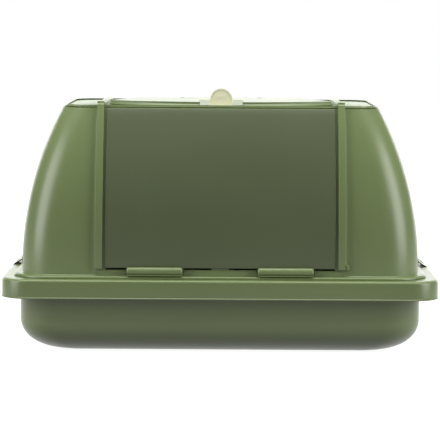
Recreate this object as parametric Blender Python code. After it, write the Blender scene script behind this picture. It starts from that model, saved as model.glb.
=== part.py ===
"""Cat litter box with a lift-off hood, drop-down front door, roof filter and rear entrance flap.

Metres, +Z up. X runs along the long side, the front door faces -Y, and z = 0 is the floor.
The hood is placed on the tray, and each moving piece has its origin on its joint's axis.
"""

from math import cos, pi, radians, sin

import bmesh
import bpy
from mathutils import Matrix, Vector

GAP = 0.0004  # between pieces that touch
WALL = 0.0025
CORNER_STEPS = 7

# Tray: straight wall over an elliptic lower edge, and a hollow rolled rim
RIM_HALF = (0.285, 0.192)
RIM_RADIUS = 0.038
RIM_LOW, RIM_TOP = 0.0753, 0.1000
TRAY_HALF = (0.2623, 0.1693)
TRAY_RADIUS = 0.0485
TRAY_EDGE = (0.054, 0.0395)  # the lower edge's half axes, inwards and upwards
FOOT_HALF = (0.2026, 0.1096)
FOOT_HEIGHT = 0.0025
FOOT_WIDTH = 0.006

# Hood: walls upright at the foot that lean in towards a flat roof
HOOD_HALF = (0.2606, 0.1676)
HOOD_RADIUS = 0.0485
HOOD_LOW = RIM_TOP + GAP
FLANGE_TOP = 0.1035
FLANGE_WIDTH = 0.010
ROOF = 0.3208
LEAN = 0.0521
LEAN_POWER = 2.2
ROOF_EDGE = 0.004
LIP_LOW = 0.092
LIP_INSET = 0.0032

# Front door between two half-round ribs
RIB_X = 0.1578
RIB_RADIUS = 0.0048
DOOR_HALF = 0.1492
DOOR_LOW, DOOR_TOP = 0.1137, 0.3186
DOOR_THICK = 0.0024
DOOR_OPENING = ((-0.136, -0.30, 0.1190), (0.136, -0.1050, 0.2990))
DOOR_AXIS = Vector((0, -0.1738, 0.1097))
COVER_X, COVER_HALF, COVER_RADIUS = 0.0850, 0.0362, 0.0057
LUG_HALF, LUG_RADIUS = 0.005, 0.0035
PIN_RADIUS, PIN_BORE, PIN_HALF = 0.0015, 0.0018, 0.010
SILL_TOP, SILL_PROUD = 0.1108, 0.0012

# Latch in the roof's front edge
PULL_Y, PULL_THICK, PULL_RADIUS, PULL_TOP = -0.1085, 0.0022, 0.0148, 0.3447
LATCH_TRAVEL = 0.006
STEM_HALF, PULL_FOOT_HALF = 0.0060, 0.0170
SLIDER_HALF, SLIDER_Y, SLIDER_HEIGHT = 0.0180, (-0.0030, 0.0050), 0.0030  # Y from the pull's middle
GUIDE_HALF, GUIDE_FRONT, GUIDE_HEIGHT, GUIDE_WALL = 0.0210, -0.0032, 0.0095, 0.0015
SPRING_ROOM = 0.0075  # behind the slider once it is fully back
COIL_RADIUS, COIL_WIRE, COIL_TURNS, COIL_DROP = 0.0026, 0.0004, 4, 0.0042

# Filter cover, basket and pad in the roof
COVER_TOP = 0.3252
COVER_AXIS = Vector((0, 0.0502, 0.3242))
BARREL_RADIUS, BARREL_HALF = 0.0026, 0.050
BARREL_NECK = 0.0437  # where the cover's neck starts, and its pocket ends 1 mm before it
THIN_PIN, THIN_BORE = 0.0012, 0.0015  # cover and clip pins, and their bores
ROOF_LUG_HALF = 0.003
BASKET_HALF_X, BASKET_Y = 0.0745, (-0.0775, -0.0245)
BASKET_LOW = 0.3000
BASKET_WALL, BASKET_FLANGE = 0.0015, 0.005
SLOTS, SLOT_PITCH, SLOT_HALF = 9, 0.015, 0.004
PAD_HEIGHT = 0.010

# Rear entrance and its flap
FRAME_HALF, FRAME_Z = 0.1030, (0.1180, 0.2925)
FRAME_WALL = 0.003
FRAME_Y = (0.1240, 0.1750)
FRAME_LIP = 0.002
FLAP_AXIS = Vector((0, 0.1300, 0.2810))
FLAP_THICK = 0.003
FLAP_KNUCKLE = 0.0038
FLAP_CLEAR, FLAP_FOOT_CLEAR = 0.0015, 0.003
FLAP_PIN_HALF = 0.0050

# Side clips
CLIP_AXIS_X, CLIP_AXIS_Z = 0.2672, 0.1085
CLIP_HALF, CLIP_RADIUS = 0.020, 0.003
CLIP_REACH = 0.2830
CLIP_LUG_HALF, CLIP_LUG_OUT, CLIP_LUG_ALONG = 0.0035, 0.002, CLIP_HALF + 0.0025

for old in list(bpy.data.objects):
    bpy.data.objects.remove(old, do_unlink=True)

litter_box = bpy.data.collections.new("litter_box")
cutters = bpy.data.collections.new("cutters")
for group in (litter_box, cutters):
    bpy.context.scene.collection.children.link(group)


def plastic(name, rgb, roughness, metallic=0.0):
    made = bpy.data.materials.new(name)
    made.use_nodes = True
    shader = made.node_tree.nodes["Principled BSDF"]
    shader.inputs["Base Color"].default_value = (*rgb, 1)
    shader.inputs["Roughness"].default_value = roughness
    shader.inputs["Metallic"].default_value = metallic
    made.diffuse_color = (*rgb, 1)
    return made


OLIVE = (0.150, 0.190, 0.095)
DOOR_GREEN = (0.105, 0.130, 0.078)
PALE = (0.640, 0.660, 0.410)
CHARCOAL = (0.020, 0.021, 0.022)
STEEL = (0.560, 0.570, 0.580)
SMOKE = (0.090, 0.110, 0.070)


def mesh_object(name, bm, origin=(0, 0, 0)):
    """Makes an object of a bmesh in world coordinates, with its origin moved to the given point."""
    bmesh.ops.recalc_face_normals(bm, faces=bm.faces)
    bmesh.ops.translate(bm, verts=bm.verts, vec=-Vector(origin))
    mesh = bpy.data.meshes.new(name)
    bm.to_mesh(mesh)
    bm.free()
    made = bpy.data.objects.new(name, mesh)
    made.location = origin
    return made


def piece(made, rgb, roughness=0.45, metallic=0.0, sharp=30):
    """Puts a finished piece in the litter box, with its material and smooth round faces."""
    litter_box.objects.link(made)
    made.data.materials.append(plastic(made.name, rgb, roughness, metallic))
    made.data.shade_smooth()
    made.data.set_sharp_from_angle(angle=radians(sharp))
    return made


def boolean(target, tool, operation):
    if tool.name not in cutters.objects:
        cutters.objects.link(tool)
        tool.hide_render = True
        tool.display_type = "WIRE"
    modifier = target.modifiers.new(tool.name, "BOOLEAN")
    modifier.operation = operation
    modifier.object = tool
    return target


def cut(target, *tools):
    for tool in tools:
        boolean(target, tool, "DIFFERENCE")


def join(target, *tools):
    for tool in tools:
        boolean(target, tool, "UNION")


def rounded_rectangle(half, radius, z):
    """Points of a rectangle with round corners at height z, anticlockwise from above."""
    points = []
    for corner, (sx, sy) in enumerate(((1, 1), (-1, 1), (-1, -1), (1, -1))):
        centre = (sx * (half[0] - radius), sy * (half[1] - radius))
        for step in range(CORNER_STEPS + 1):
            angle = (corner + step / CORNER_STEPS) * pi / 2
            points.append((centre[0] + radius * cos(angle), centre[1] + radius * sin(angle), z))
    return points


def loft(name, sections, origin=(0, 0, 0)):
    """A closed solid through rounded rectangles (half sizes, radius, height), capped at both ends."""
    bm = bmesh.new()
    rings = [[bm.verts.new(p) for p in rounded_rectangle(*section)] for section in sections]
    for lower, upper in zip(rings, rings[1:]):
        for i in range(len(lower)):
            j = (i + 1) % len(lower)
            bm.faces.new((lower[i], lower[j], upper[j], upper[i]))
    bm.faces.new(rings[0])
    bm.faces.new(rings[-1])
    return mesh_object(name, bm, origin)


def box(name, low, high, origin=(0, 0, 0)):
    bm = bmesh.new()
    size = Vector(high) - Vector(low)
    centre = (Vector(high) + Vector(low)) / 2
    bmesh.ops.create_cube(bm, size=1, matrix=Matrix.Translation(centre) @ Matrix.Diagonal((*size, 1)))
    return mesh_object(name, bm, origin)


def rod(name, centre, radius, half, axis="X", segments=20, origin=(0, 0, 0)):
    """A cylinder along X or Y."""
    turn = Matrix.Rotation(pi / 2, 4, "Y" if axis == "X" else "X")
    bm = bmesh.new()
    bmesh.ops.create_cone(
        bm, cap_ends=True, segments=segments, radius1=radius, radius2=radius, depth=2 * half,
        matrix=Matrix.Translation(centre) @ turn,
    )
    return mesh_object(name, bm, origin)


def prism(name, outline, low, high, axis="X", origin=(0, 0, 0)):
    """An outline of (y, z), (x, z) or (x, y) points, extruded along X, Y or Z from low to high."""
    place = {"X": lambda u, v: (low, u, v), "Y": lambda u, v: (u, low, v), "Z": lambda u, v: (u, v, low)}
    bm = bmesh.new()
    face = bm.faces.new([bm.verts.new(place[axis](u, v)) for u, v in outline])
    grown = bmesh.ops.extrude_face_region(bm, geom=[face])["geom"]
    step = Vector([high - low if name_of_axis == axis else 0 for name_of_axis in "XYZ"])
    bmesh.ops.translate(bm, verts=[g for g in grown if isinstance(g, bmesh.types.BMVert)], vec=step)
    return mesh_object(name, bm, origin)


def inset_at(z):
    """How far the hood's walls have leaned in at height z."""
    share = max(0.0, (z - FLANGE_TOP) / (ROOF - FLANGE_TOP))
    return LEAN * share**LEAN_POWER


def front_y(z, proud=0.0):
    return -(HOOD_HALF[1] - inset_at(z) + proud)


def shrunk(half, inset):
    return (half[0] - inset, half[1] - inset)


def between(low, high, steps):
    return [low + (high - low) * i / steps for i in range(steps + 1)]


# Tray
def tray_edge(inset_extra, steps=7):
    """The elliptic lower edge from the floor up to the straight wall, as lofted sections."""
    across, up = TRAY_EDGE
    sections = []
    for i in range(steps + 1):
        angle = i / steps * pi / 2
        inset = across * (1 - sin(angle)) + inset_extra
        z = FOOT_HEIGHT + up * (1 - cos(angle)) + inset_extra * cos(angle)
        sections.append((shrunk(TRAY_HALF, inset), TRAY_RADIUS - 0.3 * inset, z))
    return sections


def make_tray():
    foot_in = shrunk(FOOT_HALF, FOOT_WIDTH)
    below = [
        (foot_in, 0.026, FOOT_HEIGHT),
        (foot_in, 0.026, 0.0),
        (FOOT_HALF, 0.032, 0.0),
        (FOOT_HALF, 0.032, FOOT_HEIGHT),
    ]
    skirt = shrunk(RIM_HALF, WALL)
    rim = [
        (TRAY_HALF, TRAY_RADIUS, RIM_TOP - WALL),
        (skirt, RIM_RADIUS - WALL, RIM_TOP - WALL),
        (skirt, RIM_RADIUS - WALL, RIM_LOW),
        (shrunk(RIM_HALF, 0.0006), RIM_RADIUS, RIM_LOW),
        (RIM_HALF, RIM_RADIUS, RIM_LOW + 0.0008),
        (RIM_HALF, RIM_RADIUS, RIM_TOP - 0.0015),
        (shrunk(RIM_HALF, 0.0015), RIM_RADIUS, RIM_TOP),
        (shrunk(TRAY_HALF, WALL), TRAY_RADIUS - WALL, RIM_TOP),
    ]
    tray = loft("tray", below + tray_edge(0) + rim + tray_edge(WALL)[::-1])
    return piece(tray, OLIVE)


# Hood
def hood_wall(extra):
    heights = between(FLANGE_TOP, ROOF - ROOF_EDGE, 9)
    return [
        (shrunk(HOOD_HALF, inset_at(z) + extra), HOOD_RADIUS - 0.25 * inset_at(z) - extra, z)
        for z in heights
    ]


def roof_edge(steps=3):
    sections = []
    for i in range(1, steps + 1):
        angle = i / steps * pi / 2
        inset = LEAN + ROOF_EDGE * (1 - cos(angle)) * 0.9
        z = ROOF - ROOF_EDGE * (1 - sin(angle))
        sections.append((shrunk(HOOD_HALF, inset), HOOD_RADIUS - 0.25 * LEAN - ROOF_EDGE / 2, z))
    return sections


def rib(side):
    """A half-round rib up the front wall and over the roof's edge."""
    outline = [(front_y(z, RIB_RADIUS), z) for z in between(DOOR_LOW, ROOF - 0.001, 9)]
    outline += [(front_y(ROOF) + 0.001, ROOF + RIB_RADIUS), (0.100, ROOF + RIB_RADIUS)]
    outline += [(0.104, ROOF - 0.001), (front_y(ROOF) + 0.002, ROOF - 0.001)]
    outline += [(front_y(z, -0.001), z) for z in between(ROOF - 0.006, DOOR_LOW, 7)]
    x = side * RIB_X
    return prism(f"rib_{side:+d}", outline, x - RIB_RADIUS * 0.9, x + RIB_RADIUS * 0.9)


def sill_pieces():
    """Proud strip under the door, left out where the hinge covers turn."""
    low, high = COVER_X - COVER_HALF - 0.001, COVER_X + COVER_HALF + 0.001
    spans = ((-RIB_X, -high), (-low, low), (high, RIB_X))
    y = front_y(FLANGE_TOP)
    return [
        box(f"sill_{i}", (a, y - SILL_PROUD, FLANGE_TOP - 0.0005), (b, y + 0.001, SILL_TOP))
        for i, (a, b) in enumerate(spans)
    ]


def hinge_lug(side):
    """The hood's lug round a door pin, reaching out of the front wall."""
    x = side * COVER_X
    y, z = DOOR_AXIS.y, DOOR_AXIS.z
    outline = [(y + LUG_RADIUS * cos(a), z + LUG_RADIUS * sin(a)) for a in between(pi / 2, 3 * pi / 2, 10)]
    outline += [(front_y(z, -0.001), z - LUG_RADIUS), (front_y(z, -0.001), z + LUG_RADIUS)]
    return prism(f"hinge_lug_{side:+d}", outline, x - LUG_HALF, x + LUG_HALF)


def make_hood():
    lip = shrunk(HOOD_HALF, LIP_INSET)
    lip_outer = shrunk(HOOD_HALF, LIP_INSET - 0.0018)
    radius = HOOD_RADIUS - LIP_INSET
    inside = [(shrunk(HOOD_HALF, LEAN + WALL + 0.002), HOOD_RADIUS - 0.25 * LEAN - WALL, ROOF - WALL)]
    inside += [s for s in hood_wall(WALL)[::-1]]
    foot = [
        (lip, radius, HOOD_LOW),
        (lip, radius, LIP_LOW),
        (lip_outer, radius + 0.0018, LIP_LOW),
        (lip_outer, radius + 0.0018, HOOD_LOW),
        (shrunk(HOOD_HALF, -FLANGE_WIDTH), HOOD_RADIUS + 0.004, HOOD_LOW),
        (shrunk(HOOD_HALF, -FLANGE_WIDTH), HOOD_RADIUS + 0.004, FLANGE_TOP - 0.0008),
        (shrunk(HOOD_HALF, -FLANGE_WIDTH + 0.0008), HOOD_RADIUS + 0.004, FLANGE_TOP - 0.0001),
    ]
    hood = loft("hood", inside + foot + hood_wall(0) + roof_edge())
    join(hood, rib(-1), rib(1), *sill_pieces(), hinge_lug(-1), hinge_lug(1))
    for side in (-1, 1):
        half = ROOF_LUG_HALF
        x = side * (BARREL_HALF + half + 0.0005)
        low = (x - half, COVER_AXIS.y - half, ROOF - 0.001)
        high = (x + half, COVER_AXIS.y + half, COVER_AXIS.z + half)
        join(hood, box(f"roof_lug_{side:+d}", low, high))
        for end in (-1, 1):
            half, out, y = CLIP_LUG_HALF, CLIP_LUG_OUT, end * CLIP_LUG_ALONG
            low = (side * CLIP_AXIS_X - half, y - out, FLANGE_TOP - 0.002)
            high = (side * CLIP_AXIS_X + half, y + out, CLIP_AXIS_Z + CLIP_RADIUS)
            join(hood, box(f"clip_lug_{side:+d}_{end:+d}", low, high))
            # a web ties each clip lug back to the wall
            web_x = sorted((side * (HOOD_HALF[0] - 0.001), side * CLIP_AXIS_X))
            join(
                hood,
                box(
                    f"clip_web_{side:+d}_{end:+d}",
                    (web_x[0], y - out, FLANGE_TOP - 0.002),
                    (web_x[1], y + out, CLIP_AXIS_Z - 0.001),
                ),
            )
    entrance_low = (-FRAME_HALF - GAP, 0.110, FRAME_Z[0] - GAP)
    entrance_high = (FRAME_HALF + GAP, 0.250, FRAME_Z[1] + GAP)
    basket_low = (-BASKET_HALF_X - GAP, BASKET_Y[0] - GAP, ROOF - 0.01)
    basket_high = (BASKET_HALF_X + GAP, BASKET_Y[1] + GAP, ROOF + 0.01)
    slot_half = STEM_HALF + 0.0005
    slot_low = (-slot_half, PULL_Y - PULL_THICK / 2 - GAP, ROOF - 0.01)
    slot_high = (slot_half, PULL_Y + PULL_THICK / 2 + LATCH_TRAVEL + GAP, ROOF + 0.01)
    cut(
        hood,
        box("door_opening", *DOOR_OPENING),
        box("entrance_opening", entrance_low, entrance_high),
        box("basket_opening", basket_low, basket_high),
        box("latch_slot", slot_low, slot_high),
        rod("roof_lug_bore", COVER_AXIS, THIN_BORE, 0.08, segments=16),
    )
    for side in (-1, 1):
        centre = Vector((side * COVER_X, DOOR_AXIS.y, DOOR_AXIS.z))
        cut(hood, rod(f"door_lug_bore_{side:+d}", centre, PIN_BORE, 0.009, segments=16))
        centre = Vector((side * CLIP_AXIS_X, 0, CLIP_AXIS_Z))
        cut(hood, rod(f"clip_lug_bore_{side:+d}", centre, THIN_BORE, 0.04, axis="Y", segments=16))
    return piece(hood, OLIVE)


# Front door, its hinge covers and their pins
def make_door():
    outer = [(front_y(z, 0.0006 + DOOR_THICK), z) for z in between(DOOR_LOW, DOOR_TOP, 12)]
    inner = [(front_y(z, 0.0006), z) for z in between(DOOR_TOP, DOOR_LOW, 12)]
    door = prism("front_door", outer + inner, -DOOR_HALF, DOOR_HALF, origin=DOOR_AXIS)
    return piece(door, DOOR_GREEN, roughness=0.35)


def make_hinge_cover(side, name):
    """A barrel at the door's foot that turns round its pin, open behind and below for the hood's lug."""
    x = side * COVER_X
    axis = Vector((x, DOOR_AXIS.y, DOOR_AXIS.z))
    cover = rod(name, axis, COVER_RADIUS, COVER_HALF, segments=28, origin=axis)
    clear = LUG_RADIUS + 0.0005
    half = LUG_HALF + 0.0005
    cut(
        cover,
        rod(f"{name}_bore", axis, PIN_BORE, PIN_HALF + 0.0005, segments=16),
        rod(f"{name}_lug_room", axis, clear, half, segments=20),
        box(
            f"{name}_lug_way",
            (x - half, axis.y - clear, axis.z - 0.02),
            (x + half, axis.y + 0.02, axis.z + clear),
        ),
        box(
            f"{name}_door_seat",
            (x - 0.05, front_y(DOOR_LOW, 0.0006 + DOOR_THICK + GAP), DOOR_LOW - GAP),
            (x + 0.05, axis.y + 0.02, axis.z + 0.02),
        ),
    )
    return piece(cover, OLIVE)


def make_door_pin(side, name):
    centre = Vector((side * COVER_X, DOOR_AXIS.y, DOOR_AXIS.z))
    return piece(rod(name, centre, PIN_RADIUS, PIN_HALF, segments=16, origin=centre), STEEL, 0.3, 1.0)


# Latch: pull, guide and spring
def make_latch():
    """A half-disc pull on a stem through the roof, with a slider plate under it."""
    y0, y1 = PULL_Y - PULL_THICK / 2, PULL_Y + PULL_THICK / 2
    centre_z = PULL_TOP - PULL_RADIUS
    foot_z = ROOF + GAP
    outline = [(PULL_RADIUS * cos(a), centre_z + PULL_RADIUS * sin(a)) for a in between(0, pi, 20)]
    outline += [(-PULL_RADIUS, foot_z + 0.004), (-PULL_FOOT_HALF, foot_z), (PULL_FOOT_HALF, foot_z)]
    outline += [(PULL_RADIUS, foot_z + 0.004)]
    pull = prism("latch_pull", outline, y0, y1, axis="Y", origin=(0, PULL_Y, ROOF))
    under = ROOF - WALL - GAP
    front, back = PULL_Y + SLIDER_Y[0], PULL_Y + SLIDER_Y[1]
    join(
        pull,
        box("pull_stem", (-STEM_HALF, y0, under - 0.002), (STEM_HALF, y1, foot_z + 0.002)),
        box("pull_slider", (-SLIDER_HALF, front, under - SLIDER_HEIGHT), (SLIDER_HALF, back, under)),
    )
    return piece(pull, PALE, roughness=0.4)


def make_latch_guide():
    """A channel under the roof that holds the slider and the spring behind it."""
    top = ROOF - WALL - GAP
    back = PULL_Y + SLIDER_Y[1] + LATCH_TRAVEL + SPRING_ROOM
    low = (-GUIDE_HALF, PULL_Y + GUIDE_FRONT, top - GUIDE_HEIGHT)
    guide = box("latch_guide", low, (GUIDE_HALF, back, top))
    room = SLIDER_HALF + GAP
    channel_low = (-room, PULL_Y - 0.02, top - GUIDE_HEIGHT + GUIDE_WALL)
    cut(guide, box("guide_channel", channel_low, (room, back - GUIDE_WALL, top + 0.01)))
    return piece(guide, OLIVE)


def make_latch_spring():
    """A compression spring along Y between the slider and the guide's back wall."""
    steps, wire = 9, COIL_WIRE
    y0 = PULL_Y + SLIDER_Y[1] + GAP + wire
    y1 = PULL_Y + SLIDER_Y[1] + LATCH_TRAVEL + SPRING_ROOM - GUIDE_WALL - GAP - wire
    centre_z = ROOF - WALL - GAP - COIL_DROP
    curve = bpy.data.curves.new("latch_spring", "CURVE")
    curve.dimensions = "3D"
    curve.bevel_depth = wire
    curve.bevel_resolution = 1
    curve.use_fill_caps = True
    spline = curve.splines.new("POLY")
    spline.points.add(COIL_TURNS * steps)
    for i, point in enumerate(spline.points):
        angle = 2 * pi * i / steps
        y = y0 + (y1 - y0) * i / (COIL_TURNS * steps)
        point.co = (COIL_RADIUS * cos(angle), y, centre_z + COIL_RADIUS * sin(angle), 1)
    spring = bpy.data.objects.new("latch_spring", curve)
    litter_box.objects.link(spring)
    curve.materials.append(plastic("latch_spring", STEEL, 0.3, 1.0))
    return spring


# Roof filter: cover, basket and pad
def cover_outline():
    """Plan of the filter cover: bowed front with a notch for the latch, and a narrower back."""
    side_front, side_back = (0.1505, -0.0550), (0.1132, 0.0450)
    bow, notch_half, notch_back = -0.1105, 0.0290, -0.0985
    front = [
        (x, bow + (side_front[1] - bow) * (x / side_front[0]) ** 2)
        for x in between(notch_half, side_front[0], 8)
    ]
    right = [(notch_half, notch_back)] + front + [side_back]
    return right + [(-x, y) for x, y in right[::-1]]


def make_filter_cover():
    low = ROOF + GAP
    cover = prism("filter_cover", cover_outline(), low, COVER_TOP, axis="Z", origin=COVER_AXIS)
    pocket_half = BASKET_HALF_X + BASKET_FLANGE + 0.0025
    pocket_low = (-pocket_half, BASKET_Y[0] - BASKET_FLANGE - 0.0025, low - 0.01)
    pocket_high = (pocket_half, BARREL_NECK - 0.001, low + 0.0020)
    join(
        cover,
        rod("cover_barrel", COVER_AXIS, BARREL_RADIUS, BARREL_HALF, segments=20),
        box(
            "cover_neck",
            (-BARREL_HALF, BARREL_NECK, ROOF + 0.0016),
            (BARREL_HALF, COVER_AXIS.y - 0.0010, COVER_TOP),
        ),
    )
    cut(
        cover,
        box("cover_pocket", pocket_low, pocket_high),
        rod("cover_bore", COVER_AXIS, THIN_BORE, 0.08, segments=16),
    )
    return piece(cover, OLIVE)


def make_filter_basket():
    """A hanging tray with a slotted floor, on a thin flange that lies on the roof."""
    y0, y1 = BASKET_Y
    top = ROOF + GAP
    wall = BASKET_WALL
    basket = box("filter_basket", (-BASKET_HALF_X, y0, BASKET_LOW), (BASKET_HALF_X, y1, top + 0.0005))
    flange_low = (-BASKET_HALF_X - BASKET_FLANGE, y0 - BASKET_FLANGE, top)
    flange_high = (BASKET_HALF_X + BASKET_FLANGE, y1 + BASKET_FLANGE, top + 0.001)
    join(basket, box("basket_flange", flange_low, flange_high))
    inner_low = (-BASKET_HALF_X + wall, y0 + wall, BASKET_LOW + wall)
    inner_high = (BASKET_HALF_X - wall, y1 - wall, top + 0.01)
    cut(basket, box("basket_inside", inner_low, inner_high))
    for i in range(SLOTS):
        x = (i - (SLOTS - 1) / 2) * SLOT_PITCH
        low = (x - SLOT_HALF, y0 + 0.006, BASKET_LOW - 0.01)
        cut(basket, box(f"basket_slot_{i}", low, (x + SLOT_HALF, y1 - 0.006, BASKET_LOW + 0.01)))
    return piece(basket, OLIVE)


def make_filter_pad():
    wall = BASKET_WALL + GAP
    low = (-BASKET_HALF_X + wall, BASKET_Y[0] + wall, BASKET_LOW + wall)
    high = (BASKET_HALF_X - wall, BASKET_Y[1] - wall, BASKET_LOW + wall + PAD_HEIGHT)
    return piece(box("carbon_filter", low, high), CHARCOAL, roughness=0.95)


# Rear entrance: frame, flap and pins
def make_entrance_frame():
    """A short tunnel through the rear wall, trimmed to stand a little proud of it."""
    frame_low = (-FRAME_HALF, FRAME_Y[0], FRAME_Z[0])
    frame = box("entrance_frame", frame_low, (FRAME_HALF, FRAME_Y[1], FRAME_Z[1]))
    heights = between(FRAME_Z[0] - 0.01, FRAME_Z[1] + 0.01, 12)
    face = [(-front_y(z, FRAME_LIP), z) for z in heights]
    outside = face + [(0.25, heights[-1]), (0.25, heights[0])]
    cut(
        frame,
        box(
            "frame_inside",
            (-FRAME_HALF + FRAME_WALL, 0.05, FRAME_Z[0] + FRAME_WALL),
            (FRAME_HALF - FRAME_WALL, 0.25, FRAME_Z[1] - FRAME_WALL),
        ),
        prism("frame_outside", outside, -0.2, 0.2),
        rod("frame_bore", FLAP_AXIS, PIN_BORE, 0.2, segments=16),
    )
    return piece(frame, OLIVE)


def make_flap():
    """A flat panel hanging from a knuckle along its top."""
    half = FRAME_HALF - FRAME_WALL - FLAP_CLEAR
    low = (-half, FLAP_AXIS.y - FLAP_THICK / 2, FRAME_Z[0] + FRAME_WALL + FLAP_FOOT_CLEAR)
    flap = box("flap", low, (half, FLAP_AXIS.y + FLAP_THICK / 2, FLAP_AXIS.z), FLAP_AXIS)
    join(flap, rod("flap_knuckle", FLAP_AXIS, FLAP_KNUCKLE, half, segments=20))
    for side in (-1, 1):
        centre = FLAP_AXIS + Vector((side * half, 0, 0))
        cut(flap, rod(f"flap_bore_{side:+d}", centre, PIN_BORE, 0.010, segments=16))
    return piece(flap, SMOKE, roughness=0.2)


def make_flap_pin(side, name):
    centre = FLAP_AXIS + Vector((side * (FRAME_HALF - FLAP_PIN_HALF - 0.0002), 0, 0))
    pin = rod(name, centre, PIN_RADIUS, FLAP_PIN_HALF, segments=16, origin=centre)
    return piece(pin, STEEL, 0.3, 1.0)


# Side clips
def make_clip(side, name):
    """A small lever over the rim, on a barrel beside the hood's foot."""
    axis = Vector((side * CLIP_AXIS_X, 0, CLIP_AXIS_Z))
    clip = rod(name, axis, CLIP_RADIUS, CLIP_HALF, axis="Y", segments=20, origin=axis)
    plate = [
        (side * CLIP_AXIS_X, CLIP_AXIS_Z + 0.0028),
        (side * (CLIP_REACH - 0.004), CLIP_AXIS_Z - 0.0010),
        (side * CLIP_REACH, CLIP_AXIS_Z - 0.0045),
        (side * CLIP_REACH, RIM_TOP + GAP),
        (side * (CLIP_REACH - 0.0025), RIM_TOP + GAP),
        (side * (CLIP_REACH - 0.0030), CLIP_AXIS_Z - 0.0042),
        (side * CLIP_AXIS_X, CLIP_AXIS_Z - 0.0010),
    ]
    join(clip, prism(f"{name}_plate", plate, -CLIP_HALF, CLIP_HALF, axis="Y"))
    cut(clip, rod(f"{name}_bore", axis, THIN_BORE, 0.04, axis="Y", segments=16))
    return piece(clip, OLIVE)


def make_clip_pin(side, name):
    centre = Vector((side * CLIP_AXIS_X, 0, CLIP_AXIS_Z))
    half = CLIP_LUG_ALONG + CLIP_LUG_OUT - 0.0003
    pin = rod(name, centre, THIN_PIN, half, axis="Y", segments=16, origin=centre)
    return piece(pin, STEEL, 0.3, 1.0)


make_tray()
make_hood()
make_door()
make_latch()
make_latch_guide()
make_latch_spring()
make_filter_cover()
cover_pin_half = BARREL_HALF + 2 * ROOF_LUG_HALF + 0.0002
cover_pin = rod("cover_pin", COVER_AXIS, THIN_PIN, cover_pin_half, segments=16, origin=COVER_AXIS)
piece(cover_pin, STEEL, 0.3, 1.0)
make_filter_basket()
make_filter_pad()
make_entrance_frame()
make_flap()
for side, where in ((-1, "left"), (1, "right")):
    make_hinge_cover(side, f"hinge_cover_{where}")
    make_door_pin(side, f"door_pin_{where}")
    make_flap_pin(side, f"flap_pin_{where}")
    make_clip(side, f"clip_{where}")
    make_clip_pin(side, f"clip_pin_{where}")
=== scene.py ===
import math

import bmesh
import bpy
from mathutils import Matrix, Vector


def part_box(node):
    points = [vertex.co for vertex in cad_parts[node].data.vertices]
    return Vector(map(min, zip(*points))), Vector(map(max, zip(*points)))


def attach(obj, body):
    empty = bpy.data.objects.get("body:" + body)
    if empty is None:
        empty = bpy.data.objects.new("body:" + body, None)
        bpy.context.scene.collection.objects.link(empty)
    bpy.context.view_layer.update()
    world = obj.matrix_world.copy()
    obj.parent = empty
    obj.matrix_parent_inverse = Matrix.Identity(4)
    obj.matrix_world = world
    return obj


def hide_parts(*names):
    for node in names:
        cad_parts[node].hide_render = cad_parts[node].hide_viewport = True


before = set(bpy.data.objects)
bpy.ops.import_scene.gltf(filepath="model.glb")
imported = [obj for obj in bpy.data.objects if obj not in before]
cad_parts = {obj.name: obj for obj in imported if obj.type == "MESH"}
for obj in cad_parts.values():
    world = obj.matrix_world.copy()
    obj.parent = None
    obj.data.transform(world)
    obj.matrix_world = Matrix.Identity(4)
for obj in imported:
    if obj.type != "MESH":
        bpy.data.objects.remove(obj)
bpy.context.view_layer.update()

bpy.context.scene.view_settings.view_transform = "Standard"


def startClean():
    # object mode, nothing selected
    if bpy.context.object and bpy.context.object.mode != "OBJECT":
        bpy.ops.object.mode_set(mode="OBJECT")
    bpy.ops.object.select_all(action="DESELECT")


def workOn(piece):
    startClean()
    piece.select_set(True)
    bpy.context.view_layer.objects.active = piece


def openMesh(piece):
    workOn(piece)
    bpy.ops.object.mode_set(mode="EDIT")


def middle(part):
    if isinstance(part, bmesh.types.BMVert):
        return part.co
    if isinstance(part, bmesh.types.BMEdge):
        return (part.verts[0].co + part.verts[1].co) / 2
    return part.calc_center_median()


def pick(kind, test):
    # selects the corners, edges or faces that pass the test, in edit mode
    bpy.ops.mesh.select_mode(type=kind)
    bpy.ops.mesh.select_all(action="DESELECT")
    mesh = bpy.context.edit_object.data
    bm = bmesh.from_edit_mesh(mesh)
    parts = {"VERT": bm.verts, "EDGE": bm.edges, "FACE": bm.faces}[kind]
    found = [part for part in parts if test(part)]
    for part in found:
        part.select = True
    bm.select_flush_mode()
    bmesh.update_edit_mesh(mesh)
    return len(found)


def slide(x=0.0, y=0.0, z=0.0):
    bpy.ops.transform.translate(value=(x, y, z))


def useModifier(piece, kind, **settings):
    modifier = piece.modifiers.new(kind.title(), kind)
    for name, value in settings.items():
        setattr(modifier, name, value)
    workOn(piece)
    bpy.ops.object.modifier_apply(modifier=modifier.name)


def placeInMesh(piece):
    workOn(piece)
    bpy.ops.object.transform_apply(location=True, rotation=True, scale=True)


def roundEdges(piece, width, segments=3, angle=35):
    useModifier(
        piece, "BEVEL", width=width, segments=segments, limit_method="ANGLE",
        angle_limit=math.radians(angle), use_clamp_overlap=True, harden_normals=False,
    )


def carve(piece, *cutters):
    for cutter in cutters:
        placeInMesh(cutter)
        useModifier(piece, "BOOLEAN", object=cutter, operation="DIFFERENCE", solver="EXACT")
        bpy.data.objects.remove(cutter, do_unlink=True)


def weldTo(piece, *others):
    # boolean union, so that the joined shape is one skin
    for other in others:
        placeInMesh(other)
        useModifier(piece, "BOOLEAN", object=other, operation="UNION", solver="EXACT")
        bpy.data.objects.remove(other, do_unlink=True)


def block(name, low, high):
    startClean()
    low, high = Vector(low), Vector(high)
    bpy.ops.mesh.primitive_cube_add(size=1, location=(low + high) / 2)
    made = bpy.context.object
    made.name = name
    made.scale = high - low
    placeInMesh(made)
    return made


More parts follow.
